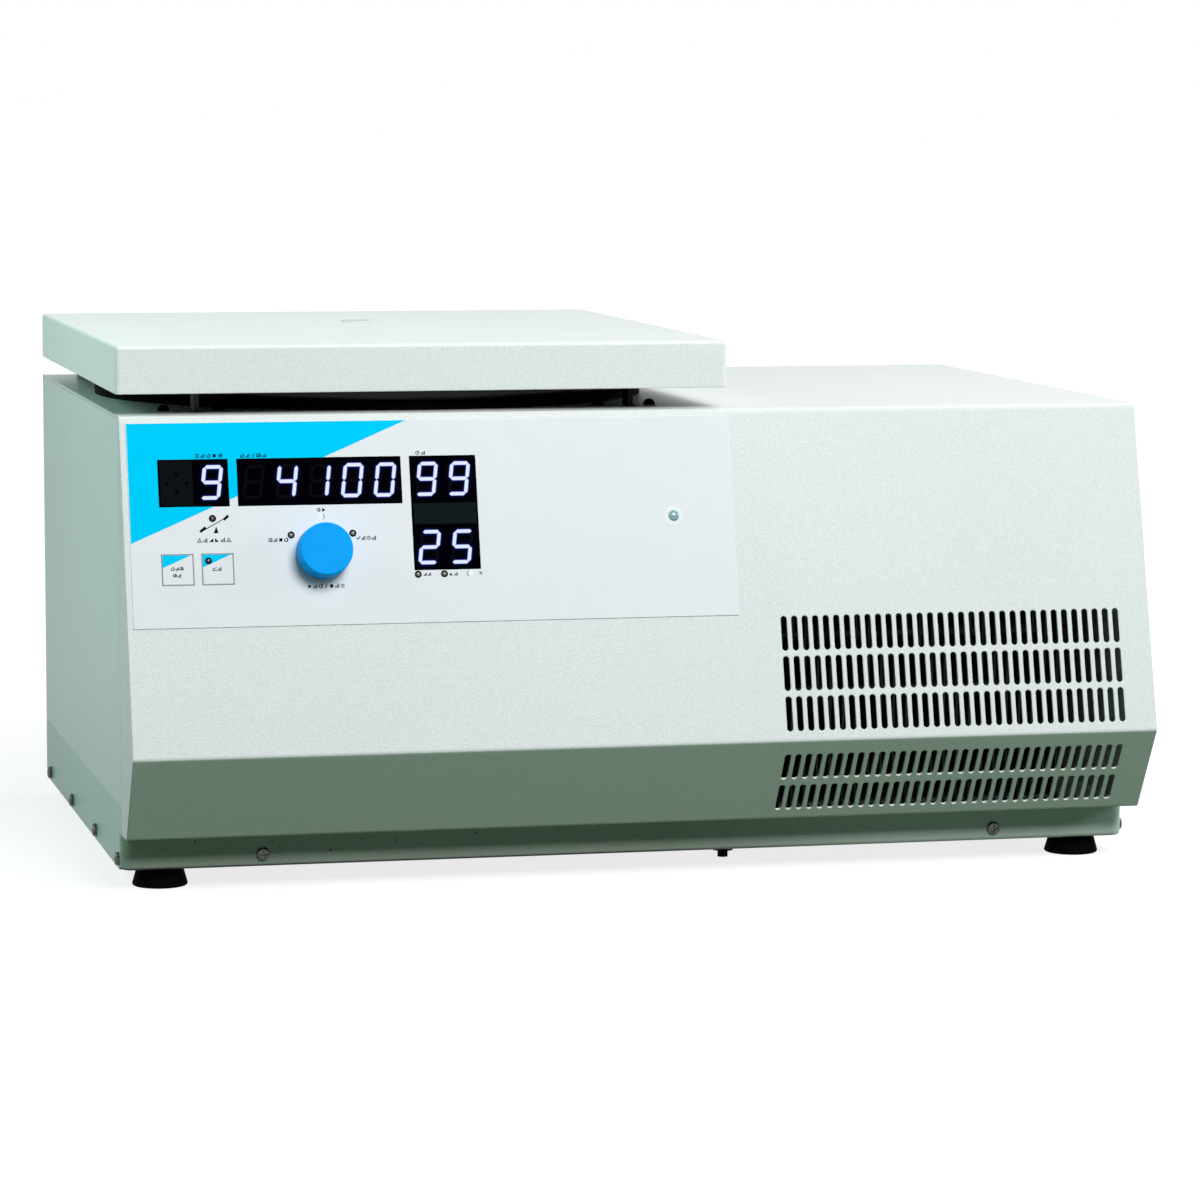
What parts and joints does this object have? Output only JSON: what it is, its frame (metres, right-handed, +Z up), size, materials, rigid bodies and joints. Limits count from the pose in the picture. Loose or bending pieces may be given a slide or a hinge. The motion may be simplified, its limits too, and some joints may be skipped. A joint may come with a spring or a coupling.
{
  "type": "microplate centrifuge",
  "caption": "Benchtop refrigerated centrifuge: swing-out microplate rotor in a round chamber under a hinged lid, sloping control panel on the left and vents on the right.",
  "frame": {"origin": "middle of the footprint on the surface that the feet stand on", "axes": "+X to the right seen from the front, -Y towards the user, +Z up"},
  "size_m": [0.605, 0.4318, 0.311],
  "materials": {
    "cabinet_paint": "satin",
    "lid_paint": "satin",
    "foot_rubber": "matte",
    "screw_steel": "satin",
    "plated_steel": "satin",
    "black_steel": "satin",
    "pin_steel": "polished",
    "control_foil": "satin",
    "dark_window": "gloss",
    "module_black": "matte",
    "board_green": "satin",
    "led_clear": "gloss",
    "lamp_grey": "gloss",
    "knob_blue": "satin",
    "encoder_metal": "satin",
    "foam": "matte",
    "stainless": "satin",
    "seal_rubber": "matte",
    "copper": "polished",
    "condenser_aluminium": "satin",
    "motor_paint": "satin",
    "rotor_aluminium": "satin",
    "carrier_aluminium": "satin",
    "lock_screw_aluminium": "satin",
    "fan_black": "matte",
    "inlet_black": "satin",
    "rim_grey": "satin",
    "port_clear": "gloss"
  },
  "bodies": {
    "cabinet": {"front_cover": "cabinet_paint", "left_side_panel": "cabinet_paint", "right_side_panel": "cabinet_paint", "rear_panel": "cabinet_paint", "base_pan": "cabinet_paint", "rubber_feet": "foot_rubber", "cover_screws": "screw_steel", "foot_screws": "screw_steel", "bulkhead": "plated_steel", "lock_brackets": "plated_steel", "fan_shroud": "plated_steel", "motor_flange": "plated_steel", "hinge_base_leaf": "black_steel", "compressor": "black_steel", "hinge_pin": "pin_steel", "front_overlay": "control_foil", "display_windows": "dark_window", "digit_modules": "module_black", "lock_actuators": "module_black", "key_switches": "module_black", "display_board": "board_green", "power_board": "board_green", "indicator_leds": "led_clear", "status_lamp": "lamp_grey", "encoder_body": "encoder_metal", "chamber_insulation": "foam", "chamber_bowl": "stainless", "chamber_gasket": "seal_rubber", "lid_buffers": "seal_rubber", "shaft_boot": "seal_rubber", "rubber_mounts": "seal_rubber", "drain_spout": "seal_rubber", "evaporator_coil": "copper", "refrigerant_pipes": "copper", "condenser": "condenser_aluminium", "motor_housing": "motor_paint", "fan_frame": "fan_black", "mains_inlet": "inlet_black"},
    "lid": {"lid_shell": "lid_paint", "lid_inner_panel": "stainless", "lid_insulation": "foam", "port_rim": "rim_grey", "port_glass": "port_clear", "lid_strikers": "screw_steel", "hinge_lid_leaf": "black_steel"},
    "rotor": {"rotor_head": "rotor_aluminium", "drive_shaft": "pin_steel", "rotor_lock_screw": "lock_screw_aluminium", "trunnion_pins": "pin_steel"},
    "carrier_left": {"carrier_left": "carrier_aluminium"},
    "carrier_right": {"carrier_right": "carrier_aluminium"},
    "encoder_rotor": {"encoder_sleeve": "encoder_metal"},
    "knob": {"knob": "knob_blue", "encoder_shaft": "encoder_metal"},
    "mode_key": {"mode_key": "control_foil"},
    "lid_key": {"lid_key": "control_foil"},
    "lock_hook_left": {"lock_hook_left": "plated_steel"},
    "lock_hook_right": {"lock_hook_right": "plated_steel"},
    "fan": {"fan_impeller": "fan_black"},
    "power_rocker": {"power_rocker": "inlet_black"}
  },
  "joints": [
    {"name": "lid_hinge", "type": "hinge", "parent": "cabinet", "child": "lid", "pos_m": [-0.12425, 0.1983, 0.2771], "axis": [-1, 0, 0], "range_deg": [0, 78]},
    {"name": "rotor_spin", "type": "hinge", "parent": "cabinet", "child": "rotor", "pos_m": [-0.12425, 0.0198, 0.219], "axis": [0, 0, 1], "continuous": true},
    {"name": "carrier_left_swing", "type": "hinge", "parent": "rotor", "child": "carrier_left", "pos_m": [-0.19925, 0.0198, 0.219], "axis": [0, 1, 0], "range_deg": [0, 90]},
    {"name": "carrier_right_swing", "type": "hinge", "parent": "rotor", "child": "carrier_right", "pos_m": [-0.04925, 0.0198, 0.219], "axis": [0, -1, 0], "range_deg": [0, 90]},
    {"name": "knob_turn", "type": "hinge", "parent": "cabinet", "child": "encoder_rotor", "pos_m": [-0.188, -0.18641, 0.19437], "axis": [0, -0.9663, 0.2574], "continuous": true},
    {"name": "knob_press", "type": "slide", "parent": "encoder_rotor", "child": "knob", "axis": [0, 0.9663, -0.2574], "range_m": [0, 0.0008], "stiffness_N_per_m": 2500, "springref_m": -0.0008},
    {"name": "mode_key_press", "type": "slide", "parent": "cabinet", "child": "mode_key", "axis": [0, 0.9663, -0.2574], "range_m": [0, 0.0004], "stiffness_N_per_m": 2500, "springref_m": -0.0004},
    {"name": "lid_key_press", "type": "slide", "parent": "cabinet", "child": "lid_key", "axis": [0, 0.9663, -0.2574], "range_m": [0, 0.0004], "stiffness_N_per_m": 2500, "springref_m": -0.0004},
    {"name": "lock_left", "type": "hinge", "parent": "cabinet", "child": "lock_hook_left", "pos_m": [-0.25125, -0.112, 0.232], "axis": [1, 0, 0], "range_deg": [0, 22]},
    {"name": "lock_right", "type": "hinge", "parent": "cabinet", "child": "lock_hook_right", "pos_m": [0.00275, -0.112, 0.232], "axis": [1, 0, 0], "range_deg": [0, 22]},
    {"name": "fan_spin", "type": "hinge", "parent": "cabinet", "child": "fan", "pos_m": [0.175, -0.0798, 0.083], "axis": [0, -1, 0], "continuous": true},
    {"name": "power_switch", "type": "hinge", "parent": "cabinet", "child": "power_rocker", "pos_m": [0.234, 0.2098, 0.07], "axis": [-1, 0, 0], "range_deg": [0, 24]}
  ],
  "couplings": [
    {"joint": "lock_right", "follows": "lock_left", "ratio": 1}
  ]
}
